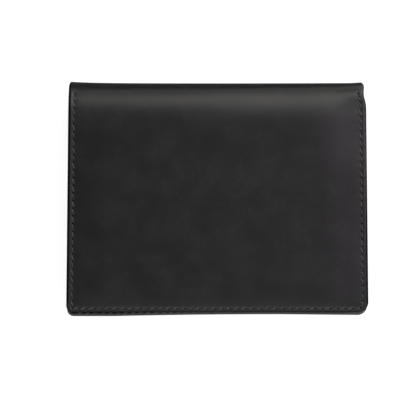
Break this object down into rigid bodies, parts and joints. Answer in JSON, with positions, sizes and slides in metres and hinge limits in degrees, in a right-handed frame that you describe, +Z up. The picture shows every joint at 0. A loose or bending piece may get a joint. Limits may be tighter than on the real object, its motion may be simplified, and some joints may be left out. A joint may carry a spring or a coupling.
{
  "type": "bifold wallet",
  "caption": "Closed bifold leather wallet with turned, topstitched edges, a rolled fold, note pockets and stepped card pockets; it opens flat like a book.",
  "frame": {"origin": "bottom centre of the closed wallet's box, on the outer face of the rear cover", "axes": "+X along the fold, towards the mouth of the note pocket; +Y towards the fold; +Z up, out of the front cover"},
  "size_m": [0.13, 0.1, 0.0215],
  "materials": {
    "cover_leather": "smooth, semi-gloss",
    "inner_leather": "smooth, satin",
    "lining_cloth": "fine twill",
    "stiffener_board": "bonded leather board",
    "sewing_thread": "waxed thread"
  },
  "bodies": {
    "rear_half": {"rear_cover": "cover_leather", "rear_stiffener": "stiffener_board", "rear_cover_lining": "lining_cloth", "rear_seam_thread": "sewing_thread", "rear_end_edge_band": "inner_leather", "rear_bottom_edge_band": "inner_leather", "rear_inner_panel": "inner_leather", "rear_pocket_binding": "inner_leather", "rear_card_pocket_1": "inner_leather", "rear_card_pocket_2": "inner_leather", "rear_card_pocket_3": "inner_leather", "rear_pocket_floor_stitch_1": "sewing_thread", "rear_pocket_floor_stitch_2": "sewing_thread"},
    "fold": {"fold_leather": "cover_leather", "fold_lining": "lining_cloth"},
    "front_half": {"front_cover": "cover_leather", "front_stiffener": "stiffener_board", "front_cover_lining": "lining_cloth", "front_seam_thread": "sewing_thread", "front_end_edge_band": "inner_leather", "front_bottom_edge_band": "inner_leather", "front_inner_panel": "inner_leather", "front_pocket_binding": "inner_leather", "front_card_pocket_1": "inner_leather", "front_card_pocket_2": "inner_leather", "front_card_pocket_3": "inner_leather", "front_pocket_floor_stitch_1": "sewing_thread", "front_pocket_floor_stitch_2": "sewing_thread"}
  },
  "joints": [
    {"name": "fold_turn", "type": "hinge", "parent": "rear_half", "child": "fold", "pos_m": [0, 0.04686, 0.00274], "axis": [-1, 0, 0], "range_deg": [0, 90], "deforming": ["fold_leather", "fold_lining"]},
    {"name": "front_cover_turn", "type": "hinge", "parent": "fold", "child": "front_half", "pos_m": [0, 0.04686, 0.01876], "axis": [-1, 0, 0], "range_deg": [0, 90]}
  ],
  "couplings": [
    {"joint": "front_cover_turn", "follows": "fold_turn", "ratio": 1}
  ]
}
